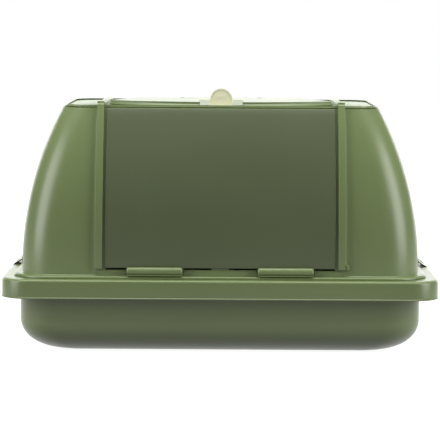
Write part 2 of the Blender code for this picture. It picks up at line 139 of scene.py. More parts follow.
def roundedBlock(name, low, high, corner, axis, segments=6):
    # a block whose four edges along one axis are rounded
    made = block(name, low, high)
    openMesh(made)
    along = "XYZ".index(axis)
    pick("EDGE", lambda e: abs((e.verts[0].co - e.verts[1].co).normalized()[along]) > 0.99)
    bpy.ops.mesh.bevel(offset=corner, segments=segments, affect="EDGES")
    bpy.ops.object.mode_set(mode="OBJECT")
    return made


def roundBar(name, centre, radius, length, axis="X", vertices=40):
    startClean()
    turn = {"X": (0, math.pi / 2, 0), "Y": (math.pi / 2, 0, 0), "Z": (0, 0, 0)}[axis]
    bpy.ops.mesh.primitive_cylinder_add(
        vertices=vertices, radius=radius, depth=length, location=centre, rotation=turn
    )
    made = bpy.context.object
    made.name = name
    placeInMesh(made)
    return made


def roundedPlate(name, halfX, halfY, corner, z):
    # a flat face with round corners, left open in edit mode and selected
    plateSegments = 14
    startClean()
    bpy.ops.mesh.primitive_plane_add(size=2, location=(0, 0, z))
    made = bpy.context.object
    made.name = name
    placeInMesh(made)
    bpy.ops.object.mode_set(mode="EDIT")
    bpy.ops.mesh.select_all(action="SELECT")
    bpy.ops.transform.resize(value=(halfX, halfY, 1), center_override=(0, 0, z))
    bpy.ops.mesh.bevel(offset=corner, segments=plateSegments, affect="VERTICES")
    bpy.ops.mesh.select_all(action="SELECT")
    return made


def pullRings(rings):
    # pulls the selected face through rings of (half x, half y, corner radius, height), and keeps
    # each corner round; the first ring is where the face lies
    halfX, halfY, corner, z = rings[0]
    for nextX, nextY, nextCorner, nextZ in rings[1:]:
        bpy.ops.mesh.extrude_region_move(TRANSFORM_OT_translate={"value": (0, 0, nextZ - z)})
        bm = bmesh.from_edit_mesh(bpy.context.edit_object.data)
        bm.verts.index_update()
        ring = {v.index for v in bm.verts if v.select}
        for sideX in (-1, 1):
            for sideY in (-1, 1):
                pick("VERT", lambda v: v.index in ring and v.co.x * sideX > 0 and v.co.y * sideY > 0)
                ratio = nextCorner / corner
                centre = (sideX * (halfX - corner), sideY * (halfY - corner), nextZ)
                bpy.ops.transform.resize(value=(ratio, ratio, 1), center_override=centre)
                slide(
                    x=sideX * ((nextX - nextCorner) - (halfX - corner)),
                    y=sideY * ((nextY - nextCorner) - (halfY - corner)),
                )
        pick("VERT", lambda v: v.index in ring)
        halfX, halfY, corner, z = nextX, nextY, nextCorner, nextZ


def steps(low, high, count):
    return [low + (high - low) * i / count for i in range(count + 1)]


def softenEdges(piece, width, test, segments=2, sharp=50):
    # rounds only the sharp edges that pass the test
    openMesh(piece)
    limit = math.radians(sharp)
    found = pick("EDGE", lambda e: (
        len(e.link_faces) == 2 and e.calc_face_angle(0) > limit and test(middle(e))
    ))
    if found:
        bpy.ops.mesh.bevel(offset=width, segments=segments, affect="EDGES", clamp_overlap=True)
    bpy.ops.object.mode_set(mode="OBJECT")


def middleOf(node):
    low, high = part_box(node)
    return (low + high) / 2


def smooth(piece, angle=35):
    workOn(piece)
    bpy.ops.object.shade_smooth_by_angle(angle=math.radians(angle))


def keepFlat(piece):
    # large flat faces stay evenly shaded beside their rounded edges
    useModifier(piece, "WEIGHTED_NORMAL", weight=70, keep_sharp=True)


def finishPiece(piece, body, finish, slotName, *nodes):
    placeInMesh(piece)
    piece.data.materials.clear()
    piece.data.materials.append(finish)
    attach(piece, body)
    if nodes:
        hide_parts(*nodes)


class Wire:
    # a shader socket that takes part in sums, and adds nodes beside itself
    def __init__(self, tree, socket=None):
        self.tree = tree
        self.socket = socket

    def add(self, kind, settings, sockets, out=0):
        node = self.tree.nodes.new(kind)
        for name, value in settings.items():
            if name == "stops":
                while len(node.color_ramp.elements) < len(value):
                    node.color_ramp.elements.new(0.5)
                for element, (place, colour) in zip(node.color_ramp.elements, value):
                    element.position = place
                    element.color = (*colour, 1)
            else:
                setattr(node, name, value)
        for name, value in sockets.items():
            if isinstance(value, Wire):
                self.tree.links.new(value.socket, node.inputs[name])
            else:
                node.inputs[name].default_value = value
        return Wire(self.tree, node.outputs[out])

    def sum(self, operation, first, second):
        return self.add("ShaderNodeMath", {"operation": operation}, {0: first, 1: second})

    def __add__(self, other):
        return self.sum("ADD", self, other)

    def __rsub__(self, other):
        return self.sum("SUBTRACT", other, self)

    def __mul__(self, other):
        return self.sum("MULTIPLY", self, other)


def newFinish(name):
    finish = bpy.data.materials.new(name)
    finish.use_nodes = True
    tree = finish.node_tree
    shader = tree.nodes["Principled BSDF"]
    return finish, Wire(tree), shader


def mouldedPlastic(name, look):
    # moulded polypropylene: faint cloudy colour, fine skin grain, and a slightly uneven gloss
    finish, start, shader = newFinish(name)
    links = start.tree.links
    place = start.add("ShaderNodeTexCoord", {}, {}, "Object")
    cloud = start.add("ShaderNodeTexNoise", {}, {"Vector": place, "Scale": 7.0, "Detail": 3.0})
    speck = start.add("ShaderNodeTexNoise", {}, {"Vector": place, "Scale": 900.0, "Detail": 2.0})
    shade = cloud * 0.75 + speck * 0.25
    colour = start.add(
        "ShaderNodeValToRGB", {"stops": [(0.35, look["dark"]), (0.65, look["light"])]}, {"Fac": shade}
    )
    smear = start.add("ShaderNodeTexNoise", {}, {"Vector": place, "Scale": 22.0, "Detail": 4.0})
    gloss = smear * look["glossSpread"] + (look["roughness"] - look["glossSpread"] / 2)
    grain = start.add(
        "ShaderNodeTexNoise", {}, {"Vector": place, "Scale": look["grain"], "Detail": 3.0}
    )
    bump = start.add(
        "ShaderNodeBump", {}, {"Height": grain, "Strength": look["grainDepth"], "Distance": 0.0004}
    )
    links.new(colour.socket, shader.inputs["Base Color"])
    links.new(gloss.socket, shader.inputs["Roughness"])
    links.new(bump.socket, shader.inputs["Normal"])
    shader.inputs["IOR"].default_value = look["ior"]
    shader.inputs["Transmission Weight"].default_value = look.get("clear", 0.0)
    return finish


shellPlastic = mouldedPlastic("shellPlastic", {
    "dark": (0.124, 0.167, 0.062), "light": (0.137, 0.181, 0.070), "roughness": 0.31,
    "glossSpread": 0.08, "grain": 1500.0, "grainDepth": 0.10, "ior": 1.50,
})
doorPlastic = mouldedPlastic("doorPlastic", {
    "dark": (0.069, 0.088, 0.041), "light": (0.076, 0.096, 0.046), "roughness": 0.36,
    "glossSpread": 0.06, "grain": 1800.0, "grainDepth": 0.06, "ior": 1.43,
})
palePlastic = mouldedPlastic("palePlastic", {
    "dark": (0.805, 0.815, 0.535), "light": (0.845, 0.850, 0.580), "roughness": 0.40,
    "glossSpread": 0.08, "grain": 1500.0, "grainDepth": 0.08, "ior": 1.49,
})
smokePlastic = mouldedPlastic("smokePlastic", {
    "dark": (0.200, 0.230, 0.150), "light": (0.230, 0.260, 0.175), "roughness": 0.16,
    "glossSpread": 0.05, "grain": 1200.0, "grainDepth": 0.04, "ior": 1.49, "clear": 0.75,
})


def steelFinish():
    finish, start, shader = newFinish("pinSteel")
    place = start.add("ShaderNodeTexCoord", {}, {}, "Object")
    drawn = start.add("ShaderNodeMapping", {}, {"Vector": place, "Scale": (20, 900, 900)})
    lines = start.add("ShaderNodeTexNoise", {}, {"Vector": drawn, "Scale": 1.0, "Detail": 3.0})
    stops = [(0.3, (0.47, 0.48, 0.49)), (0.7, (0.60, 0.61, 0.62))]
    tone = start.add("ShaderNodeValToRGB", {"stops": stops}, {"Fac": lines})
    gloss = lines * 0.18 + 0.20
    start.tree.links.new(tone.socket, shader.inputs["Base Color"])
    start.tree.links.new(gloss.socket, shader.inputs["Roughness"])
    shader.inputs["Metallic"].default_value = 1.0
    return finish


def feltFinish():
    finish, start, shader = newFinish("filterFelt")
    place = start.add("ShaderNodeTexCoord", {}, {}, "Object")
    fibres = start.add("ShaderNodeTexNoise", {}, {"Vector": place, "Scale": 700.0, "Detail": 6.0})
    stops = [(0.35, (0.010, 0.010, 0.011)), (0.7, (0.045, 0.046, 0.048))]
    tone = start.add("ShaderNodeValToRGB", {"stops": stops}, {"Fac": fibres})
    bump = start.add("ShaderNodeBump", {}, {"Height": fibres, "Strength": 0.7, "Distance": 0.001})
    start.tree.links.new(tone.socket, shader.inputs["Base Color"])
    start.tree.links.new(bump.socket, shader.inputs["Normal"])
    shader.inputs["Roughness"].default_value = 0.95
    return finish


pinSteel = steelFinish()
filterFelt = feltFinish()
print("materials ready")


trayLow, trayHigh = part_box("tray")
tray = {
    "wall": 0.0025, "wallInset": 0.0227, "wallCorner": 0.0485,
    "lowerAcross": 0.054, "lowerUp": 0.0395, "lowCorner": 0.0330, "waist": 0.0017, "waistZ": 0.076,
    "shoulderZ": 0.088, "rimCorner": 0.038, "rimDrop": 0.0247, "rimRound": 0.0034,
    "bead": 0.0009, "beadHigh": 0.0013, "beadRound": 0.0004, "beadBlend": 0.0008,
    "footHigh": 0.0025, "footInset": 0.0057, "footTaper": 0.0075, "footWidth": 0.0045,
    "footCorner": 0.0290,
}


def makeTray():
    rimX, rimY, top = trayHigh.x, trayHigh.y, trayHigh.z
    wallX, wallY = rimX - tray["wallInset"], rimY - tray["wallInset"]
    lowX, lowY = wallX - tray["lowerAcross"], wallY - tray["lowerAcross"]
    footX, footY = lowX - tray["footInset"], lowY - tray["footInset"]
    footZ, lowCorner = tray["footHigh"], tray["lowCorner"]
    made = roundedPlate("trayShell", footX, footY, lowCorner, footZ)
    rings = [(footX, footY, lowCorner, footZ), (lowX, lowY, lowCorner, footZ + 0.0001)]
    for angle in steps(0, math.pi / 2, 14)[1:]:
        inset = tray["waist"] + (tray["lowerAcross"] - tray["waist"]) * (1 - math.sin(angle))
        height = footZ + tray["lowerUp"] * (1 - math.cos(angle))
        corner = lowCorner + (tray["wallCorner"] - lowCorner) * math.sin(angle)
        rings.append((wallX - inset, wallY - inset, corner, height))
    faceX, faceY, rimCorner = rimX - tray["bead"], rimY - tray["bead"], tray["rimCorner"]
    rimLow, bend = top - tray["rimDrop"], tray["rimRound"]
    rings += [
        (wallX - tray["waist"], wallY - tray["waist"], tray["wallCorner"], tray["waistZ"]),
        (wallX + 0.0004, wallY + 0.0004, tray["wallCorner"], tray["shoulderZ"]),
        (wallX + 0.0006, wallY + 0.0006, tray["wallCorner"], top - 0.0010),
        (wallX + 0.0016, wallY + 0.0016, tray["wallCorner"], top),
    ]
    for angle in steps(0, math.pi / 2, 4):
        inset = bend * (1 - math.sin(angle))
        rings.append((faceX - inset, faceY - inset, rimCorner, top - bend * (1 - math.cos(angle))))
    beadTop, turn = rimLow + tray["beadHigh"], tray["beadRound"]
    rings += [
        (faceX, faceY, rimCorner, beadTop + tray["beadBlend"]),
        (rimX, rimY, rimCorner + turn, beadTop),
        (rimX, rimY, rimCorner + turn, rimLow + turn),
        (rimX - turn, rimY - turn, rimCorner, rimLow),
    ]
    pullRings(rings)
    bpy.ops.mesh.delete(type="FACE")
    bpy.ops.mesh.select_all(action="SELECT")
    bpy.ops.mesh.normals_make_consistent(inside=False)
    bpy.ops.object.mode_set(mode="OBJECT")
    useModifier(made, "SOLIDIFY", thickness=tray["wall"], offset=-1, use_even_offset=True)
    weldTo(made, makeFoot(lowX, lowY))
    smooth(made, 40)
    finishPiece(made, "base", shellPlastic, "shell_plastic", "tray")


def makeFoot(halfX, halfY):
    # a tapered ring that carries the tray
    taper, width, corner = tray["footTaper"], tray["footWidth"], tray["lowCorner"]
    foot = roundedPlate("trayFoot", halfX - taper, halfY - taper, tray["footCorner"], 0.0)
    pullRings([
        (halfX - taper, halfY - taper, tray["footCorner"], 0.0),
        (halfX, halfY, corner, tray["footHigh"] + 0.0003),
        (halfX - 0.0010, halfY - 0.0010, corner, tray["footHigh"] + 0.0012),
    ])
    inner = taper + width
    bpy.ops.mesh.select_all(action="SELECT")
    bpy.ops.mesh.normals_make_consistent(inside=False)
    bpy.ops.object.mode_set(mode="OBJECT")
    hole = roundedPlate(
        "footHole", halfX - inner, halfY - inner, tray["footCorner"] - 0.004, -0.01
    )
    bpy.ops.mesh.extrude_region_move(
        TRANSFORM_OT_translate={"value": (0, 0, 0.01 + tray["footHigh"])}
    )
    bpy.ops.mesh.select_all(action="SELECT")
    bpy.ops.mesh.normals_make_consistent(inside=False)
    bpy.ops.object.mode_set(mode="OBJECT")
    carve(foot, hole)
    return foot


makeTray()
print("tray made")


# The hood: upright at its foot, leaning in towards a flat roof with a soft edge.
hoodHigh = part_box("hood")[1]
hood = {
    "flange": 0.010, "flangeTop": 0.1035, "low": 0.1004, "lean": 0.0521, "leanPower": 2.2,
    "corner": 0.0525, "wallCorner": 0.0485, "wall": 0.0025,
    "edge": 0.0004, "groove": 0.0016, "grooveBelow": 0.0020,
    "ribX": 0.1578, "ribHalf": 0.0046, "ribRise": 0.0046, "ribLow": 0.1128, "ribRear": 0.1020,
    "valley": 0.0011, "valleyOut": 0.003, "valleyWide": 0.006,
}
roofZ = 0.3208
wallX, wallY = hoodHigh.x - hood["flange"], 0.1676


def leanAt(z):
    share = max(0.0, (z - hood["flangeTop"]) / (roofZ - hood["flangeTop"]))
    return hood["lean"] * share ** hood["leanPower"]


def frontAt(z, proud=0.0):
    return -(wallY - leanAt(z) + proud)


def wallRing(z, inset=0.0):
    inset += leanAt(z)
    return (wallX - inset, wallY - inset, hood["wallCorner"] - 0.25 * leanAt(z), z)


def makeHood():
    flangeX, flangeY, flangeTop = wallX + hood["flange"], wallY + hood["flange"], hood["flangeTop"]
    corner = hood["corner"]
    made = roundedPlate("hoodShell", flangeX, flangeY, corner, hood["low"])
    rings = [
        (flangeX, flangeY, corner, hood["low"]),
        (flangeX, flangeY, corner, flangeTop - 0.0018),
        (flangeX - 0.0003, flangeY - 0.0003, corner, flangeTop - 0.0010),
        (flangeX - 0.0010, flangeY - 0.0010, corner, flangeTop - 0.0003),
        (flangeX - 0.0018, flangeY - 0.0018, corner, flangeTop),
        (wallX + 0.0010, wallY + 0.0010, hood["wallCorner"] + 0.001, flangeTop),
        wallRing(flangeTop + 0.0010),
    ]
    grooveZ = roofZ - hood["grooveBelow"]
    rings += [wallRing(z) for z in steps(flangeTop + 0.0010, grooveZ, 18)[1:]]
    rings.append(wallRing(grooveZ + 0.0002, hood["groove"]))
    rings.append(wallRing(roofZ - hood["edge"] - 0.0001, hood["groove"]))
    edge = hood["edge"]
    last = wallRing(roofZ - edge)
    for angle in steps(0, math.pi / 2, 3):
        inset = edge * (1 - math.cos(angle))
        height = roofZ - edge * (1 - math.sin(angle))
        rings.append((last[0] - inset, last[1] - inset, last[2], height))
    pullRings(rings)
    pick("FACE", lambda f: f.calc_center_median().z < hood["low"] + 1e-4 and abs(f.normal.z) > 0.9)
    bpy.ops.mesh.delete(type="FACE")
    bpy.ops.mesh.select_all(action="SELECT")
    bpy.ops.mesh.normals_make_consistent(inside=False)
    bpy.ops.object.mode_set(mode="OBJECT")
    useModifier(made, "SOLIDIFY", thickness=hood["wall"], offset=-1, use_even_offset=True)
    addRibs(made, grooveZ)
    return made


def onRib(face):
    centre = face.calc_center_median()
    if abs(abs(centre.x) - hood["ribX"]) > hood["ribHalf"] * 0.98 or centre.z < hood["ribLow"]:
        return False
    front = centre.y < -0.09 and face.normal.y < -0.1
    roof = face.normal.z > 0.5 and centre.y < hood["ribRear"]
    return front or roof


def addRibs(made, grooveZ):
    # two strips of the front wall and roof, lifted and rounded, with a soft valley outside each
    openMesh(made)
    outer = hood["ribX"] + hood["ribHalf"]
    valleyX = outer + hood["valleyOut"]
    for side in (-1, 1):
        for x in (hood["ribX"] - hood["ribHalf"], outer, valleyX, valleyX + hood["valleyWide"]):
            bpy.ops.mesh.select_all(action="SELECT")
            bpy.ops.mesh.bisect(plane_co=(side * x, 0, 0), plane_no=(1, 0, 0))
    for place, facing in (((0, 0, hood["ribLow"]), (0, 0, 1)), ((0, hood["ribRear"], 0), (0, 1, 0))):
        bpy.ops.mesh.select_all(action="SELECT")
        bpy.ops.mesh.bisect(plane_co=place, plane_no=facing)
    pick("VERT", lambda v: (
        abs(abs(v.co.x) - valleyX) < 1e-4 and v.co.y < frontAt(v.co.z) + 0.0008
        and hood["ribLow"] < v.co.z < grooveZ - 0.001
    ))
    slide(y=hood["valley"])
    pick("FACE", onRib)
    bpy.ops.mesh.extrude_region_shrink_fatten(
        TRANSFORM_OT_shrink_fatten={"value": hood["ribRise"], "use_even_offset": True}
    )
    bpy.ops.mesh.region_to_loop()
    bpy.ops.mesh.bevel(
        offset=hood["ribRise"] * 0.86, segments=5, affect="EDGES", clamp_overlap=True
    )
    bpy.ops.object.mode_set(mode="OBJECT")


hoodShell = makeHood()
print("hood shell made")

# The ring under the flange that drops inside the tray's wall.
lip = {"low": 0.0922, "top": 0.1030, "outer": 0.0014, "wall": 0.0018, "corner": 0.050}


def addLip(made):
    ring = roundedPlate(
        "hoodLip", wallX - lip["outer"], wallY - lip["outer"], lip["corner"], lip["low"]
    )
    bpy.ops.mesh.extrude_region_move(
        TRANSFORM_OT_translate={"value": (0, 0, lip["top"] - lip["low"])}
    )
    pick("FACE", lambda f: abs(f.normal.z) > 0.9)
    bpy.ops.mesh.delete(type="FACE")
    bpy.ops.mesh.select_all(action="SELECT")
    bpy.ops.mesh.normals_make_consistent(inside=False)
    bpy.ops.object.mode_set(mode="OBJECT")
    useModifier(ring, "SOLIDIFY", thickness=lip["wall"], offset=-1, use_even_offset=True)
    roundEdges(ring, 0.0005, 2, 60)
    weldTo(made, ring)


addLip(hoodShell)

# What the hood carries outside: sill strips and hinge lugs under the door, lugs for the lid and clips.
hinge = middleOf("door_pin_right")
lidPin = middleOf("cover_pin")
clipPin = middleOf("clip_pin_right")
fittings = {
    "sillTop": 0.1108, "sillProud": 0.0012, "coverHalf": 0.0362, "coverGap": 0.0010,
    "lugHalf": 0.0050, "lugRadius": 0.0035, "pinBore": 0.0018, "thinBore": 0.0015,
    "lidBarrelHalf": 0.0500, "lidLugHalf": 0.0030, "clipLugHalf": 0.0035, "clipLugAlong": 0.0225,
    "clipLugOut": 0.0020, "stopX": (0.1626, 0.1674), "stopZ": (0.1122, 0.1188), "stopProud": 0.0034,
}


def sillSpans():
    inner = hinge.x - fittings["coverHalf"] - fittings["coverGap"]
    outer = hinge.x + fittings["coverHalf"] + fittings["coverGap"]
    return ((-hood["ribX"], -outer), (-inner, inner), (outer, hood["ribX"]))


def addSills(made):
    y = frontAt(hood["flangeTop"])
    for start, end in sillSpans():
        low = (start, y - fittings["sillProud"], hood["flangeTop"] - 0.0006)
        strip = block("sill", low, (end, y + 0.0012, fittings["sillTop"]))
        roundEdges(strip, 0.0005, 3)
        weldTo(made, strip)


def addHingeLugs(made):
    for side in (-1, 1):
        centre = Vector((side * hinge.x, hinge.y, hinge.z))
        half, radius = fittings["lugHalf"], fittings["lugRadius"]
        lug = roundBar("hingeLug", centre, radius, 2 * half, "X", 32)
        low = (centre.x - half, centre.y, centre.z - radius)
        high = (centre.x + half, frontAt(centre.z, -0.001), centre.z + radius)
        foot = block("hingeLugFoot", low, high)
        weldTo(lug, foot)
        roundEdges(lug, 0.0004, 2, 60)
        weldTo(made, lug)
        carve(made, roundBar("bore", centre, fittings["pinBore"], 4 * half, "X", 24))


def addRoofLugs(made):
    for side in (-1, 1):
        half = fittings["lidLugHalf"]
        x = side * (fittings["lidBarrelHalf"] + half + 0.0005)
        low = (x - half, lidPin.y - half, roofZ - 0.001)
        high = (x + half, lidPin.y + half, lidPin.z + half)
        lug = roundedBlock("roofLug", low, high, 0.0020, "X")
        roundEdges(lug, 0.0004, 2, 60)
        weldTo(made, lug)
    reach = 2 * fittings["lidBarrelHalf"] + 0.05
    carve(made, roundBar("bore", lidPin, fittings["thinBore"], reach, "X", 24))


def addClipLugs(made):
    half, out = fittings["clipLugHalf"], fittings["clipLugOut"]
    for side in (-1, 1):
        for end in (-1, 1):
            y = end * fittings["clipLugAlong"]
            x = side * clipPin.x
            low = (x - half, y - out, hood["flangeTop"] - 0.0012)
            lug = roundedBlock("clipLug", low, (x + half, y + out, clipPin.z + 0.003), 0.0016, "Y")
            web = block(
                "clipWeb",
                (min(x, side * (wallX - 0.001)), y - out, hood["flangeTop"] - 0.0012),
                (max(x, side * (wallX - 0.001)), y + out, clipPin.z - 0.001),
            )
            weldTo(lug, web)
            weldTo(made, lug)
        centre = (side * clipPin.x, 0, clipPin.z)
        carve(made, roundBar("bore", centre, fittings["thinBore"], 0.08, "Y", 24))


def addStop(made):
    # the small square lug beside the right rib's foot
    low = (fittings["stopX"][0], frontAt(0.115, fittings["stopProud"]), fittings["stopZ"][0])
    high = (fittings["stopX"][1], frontAt(0.115, -0.001), fittings["stopZ"][1])
    lug = block("stop", low, high)
    roundEdges(lug, 0.0006, 3)
    weldTo(made, lug)


addSills(hoodShell)
addHingeLugs(hoodShell)
addRoofLugs(hoodShell)
addClipLugs(hoodShell)
addStop(hoodShell)
print("hood fittings made")

# The ways through the hood: door, entrance, filter basket, latch slot and the slits under the door.
frameLow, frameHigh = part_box("entrance_frame")
basketLow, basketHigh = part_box("filter_basket")
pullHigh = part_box("latch_pull")[1]
ways = {
    "doorHalf": 0.136, "doorLow": 0.119, "doorHigh": 0.299, "doorCorner": 0.006, "gap": 0.0004,
    "flange": 0.005, "slotHalf": 0.0065, "pullY": -0.1085, "pullThick": 0.0022, "travel": 0.006,
    "slitLow": 0.1112, "slitHigh": 0.1134, "slitInner": 0.0115, "doorEdge": 0.1486,
}


def openHood(made):
    door = roundedBlock(
        "doorWay", (-ways["doorHalf"], -0.30, ways["doorLow"]),
        (ways["doorHalf"], -0.105, ways["doorHigh"]), ways["doorCorner"], "Y",
    )
    gap = ways["gap"]
    entrance = block(
        "entranceWay", (frameLow.x - gap, 0.110, frameLow.z - gap),
        (frameHigh.x + gap, 0.25, frameHigh.z + gap),
    )
    flange = ways["flange"] - gap
    basket = block(
        "basketWay", (basketLow.x + flange, basketLow.y + flange, roofZ - 0.01),
        (basketHigh.x - flange, basketHigh.y - flange, roofZ + 0.01),
    )
    half = ways["pullThick"] / 2 + gap
    slot = block(
        "latchWay", (-ways["slotHalf"], ways["pullY"] - half, roofZ - 0.01),
        (ways["slotHalf"], ways["pullY"] + half + ways["travel"], roofZ + 0.01),
    )
    carve(made, door, entrance, basket, slot)
    inner, outer = sillSpans()[1][1], sillSpans()[2][0]
    for start, end in ((ways["slitInner"], inner), (outer, ways["doorEdge"])):
        for side in (-1, 1):
            low = (min(side * start, side * end), frontAt(0.112) - 0.004, ways["slitLow"])
            high = (max(side * start, side * end), frontAt(0.112) + 0.004, ways["slitHigh"])
            carve(made, block("slit", low, high))
    softenEdges(made, 0.0005, lambda p: (
        (abs(abs(p.x) - ways["doorHalf"]) < 0.0062 or p.z < ways["doorLow"] + 0.006
         or p.z > ways["doorHigh"] - 0.006)
        and abs(p.x) < ways["doorHalf"] + 0.0002 and p.y < -0.10
        and ways["doorLow"] - 0.0002 < p.z < ways["doorHigh"] + 0.0002
    ))


openHood(hoodShell)
smooth(hoodShell, 40)
finishPiece(hoodShell, "hood", shellPlastic, "shell_plastic", "hood")
print("hood opened")

# The front door: one thin panel that follows the hood's lean.
door = {"half": 0.1492, "low": 0.1137, "high": 0.3184, "thick": 0.0024, "clear": 0.0006}


def makeDoor():
    startClean()
    thick = door["thick"]
    y = frontAt(door["low"], door["clear"] + thick / 2)
    bpy.ops.mesh.primitive_plane_add(size=2, location=(0, y, door["low"]))
    made = bpy.context.object
    made.name = "doorPanel"
    placeInMesh(made)
    bpy.ops.object.mode_set(mode="EDIT")
    bpy.ops.mesh.select_all(action="SELECT")
    bpy.ops.transform.resize(
        value=(door["half"], thick / 2, 1), center_override=(0, y, door["low"])
    )
    z = door["low"]
    for nextZ in steps(door["low"], door["high"], 22)[1:]:
        nextY = frontAt(nextZ, door["clear"] + thick / 2)
        bpy.ops.mesh.extrude_region_move(
            TRANSFORM_OT_translate={"value": (0, nextY - y, nextZ - z)}
        )
        y, z = nextY, nextZ
    bpy.ops.mesh.select_all(action="SELECT")
    bpy.ops.mesh.normals_make_consistent(inside=False)
    bpy.ops.object.mode_set(mode="OBJECT")
    roundEdges(made, 0.0006, 3, 40)
    smooth(made)
    finishPiece(made, "door", doorPlastic, "door_plastic", "front_door")


makeDoor()
print("door made")

# The barrels at the door's foot: round ends, a lip along the lower front, open behind for the lug.
barrel = {"radius": 0.0057, "end": 0.0026, "lipOut": 0.0050, "lipLow": -0.0056, "lipHigh": -0.0040}


def makeBarrel(node, pinNode):
    centre = middleOf(pinNode)
    half = fittings["coverHalf"]
    made = roundBar(node + "Barrel", centre, barrel["radius"], 2 * half, "X", 48)
    openMesh(made)
    pick("EDGE", lambda e: abs(e.verts[0].co.x - e.verts[1].co.x) < 1e-5)
    bpy.ops.mesh.bevel(offset=barrel["end"], segments=5, affect="EDGES")
    bpy.ops.object.mode_set(mode="OBJECT")
    edge = half - 0.0016
    low = (centre.x - edge, centre.y - barrel["lipOut"], centre.z + barrel["lipLow"])
    strip = block("barrelLip", low, (centre.x + edge, centre.y, centre.z + barrel["lipHigh"]))
    roundEdges(strip, 0.0005, 3)
    weldTo(made, strip)
    clear, side = fittings["lugRadius"] + 0.0005, fittings["lugHalf"] + 0.0005
    carve(
        made,
        roundBar("bore", centre, fittings["pinBore"], 0.021, "X", 24),
        roundBar("lugRoom", centre, clear, 2 * side, "X", 32),
        block(
            "lugWay", (centre.x - side, centre.y - clear, centre.z - 0.02),
            (centre.x + side, centre.y + 0.02, centre.z + clear),
        ),
        block(
            "doorSeat",
            (centre.x - 0.05, frontAt(door["low"], 0.0034), door["low"] - 0.0004),
            (centre.x + 0.05, centre.y + 0.02, centre.z + 0.02),
        ),
    )
    smooth(made, 40)
    finishPiece(made, "door", shellPlastic, "shell_plastic", node)


makeBarrel("hinge_cover_left", "door_pin_left")
makeBarrel("hinge_cover_right", "door_pin_right")
print("hinge barrels made")

# The latch: a disc to pull, on a stem through the roof with a slider under it, in a channel.
latch = {
    "radius": 0.0148, "rim": 0.0017, "dish": 0.0005, "arc": 0.0062, "foot": 0.0170, "footHigh": 0.0042,
    "stem": 0.0060, "slider": 0.0180, "sliderHigh": 0.0030, "sliderBack": 0.0050, "guideHalf": 0.0210,
    "guideFront": 0.0032, "guideHigh": 0.0095, "guideWall": 0.0015, "springRoom": 0.0075,
    "arcWide": 0.0008, "arcRise": 0.0007, "arcDown": 0.0010,
}


def makePull():
    y, thick, radius = ways["pullY"], ways["pullThick"], latch["radius"]
    centre = Vector((0, y, pullHigh.z - radius))
    footZ = roofZ + 0.0004
    made = roundBar("latchPull", centre, radius, thick, "Y", 64)
    low = (-radius, y - thick / 2, footZ + latch["footHigh"])
    body = block("pullBody", low, (radius, y + thick / 2, centre.z))
    base = block(
        "pullFoot", (-latch["foot"], y - thick / 2, footZ),
        (latch["foot"], y + thick / 2, footZ + latch["footHigh"]),
    )
    openMesh(base)
    pick("VERT", lambda v: v.co.z > footZ + 0.001)
    bpy.ops.transform.resize(value=(radius / latch["foot"], 1, 1), center_override=(0, y, 0))
    bpy.ops.object.mode_set(mode="OBJECT")
    weldTo(made, body, base)
    face = y - thick / 2
    inner, deep = radius - latch["rim"], latch["dish"]
    carve(made, roundBar("dish", (0, face, centre.z), inner, 2 * deep, "Y", 64))
    arcZ = centre.z - latch["arcDown"]
    arc = roundBar("arc", (0, face + deep, arcZ), latch["arc"], latch["arcRise"], "Y", 48)
    carve(arc, roundBar("arcHole", (0, face, arcZ), latch["arc"] - latch["arcWide"], 0.01, "Y", 48))
    carve(arc, block("arcLower", (-0.02, y - 0.02, centre.z - 0.03), (0.02, y + 0.02, centre.z)))
    weldTo(made, arc)
    under = roofZ - hood["wall"] - 0.0004
    stem = block(
        "pullStem", (-latch["stem"], y - thick / 2, under - 0.002),
        (latch["stem"], y + thick / 2, footZ + 0.002),
    )
    slider = block(
        "pullSlider", (-latch["slider"], y - 0.0030, under - latch["sliderHigh"]),
        (latch["slider"], y + latch["sliderBack"], under),
    )
    roundEdges(slider, 0.0004, 2)
    weldTo(made, stem, slider)
    softenEdges(made, 0.00045, lambda p: (
        p.z > footZ + 0.0004 and abs(p.y - y) > thick / 2 - 0.0001
    ), 3)
    smooth(made)
    finishPiece(made, "latch", palePlastic, "latch_plastic", "latch_pull")


def makeGuide():
    top = roofZ - hood["wall"] - 0.0004
    y = ways["pullY"]
    back = y + latch["sliderBack"] + ways["travel"] + latch["springRoom"]
    low = (-latch["guideHalf"], y - latch["guideFront"], top - latch["guideHigh"])
    made = roundedBlock("latchGuide", low, (latch["guideHalf"], back, top), 0.0015, "Y", 4)
    room = latch["slider"] + 0.0004
    carve(made, block(
        "channel", (-room, y - 0.02, top - latch["guideHigh"] + latch["guideWall"]),
        (room, back - latch["guideWall"], top + 0.01),
    ))
    roundEdges(made, 0.0003, 2, 50)
    smooth(made)
    finishPiece(made, "hood", shellPlastic, "shell_plastic", "latch_guide")


makePull()
makeGuide()
print("latch made")

# The roof lid: bowed front with a notch for the pull, a stepped edge and a barrel at the back.
lid = {
    "frontHalf": 0.1505, "backHalf": 0.1132, "bow": -0.1105, "side": -0.0550, "back": 0.0450,
    "low": 0.3212, "step": 0.0008, "slope": 0.0022, "notchHalf": 0.0290, "notchBack": -0.0985,
    "notchCorner": 0.003, "scoopBack": -0.0400, "scoopLow": 0.3222, "barrel": 0.0026, "neck": 0.0437,
    "columns": 32, "pocketClear": 0.0025, "pocketHigh": 0.0014,
}


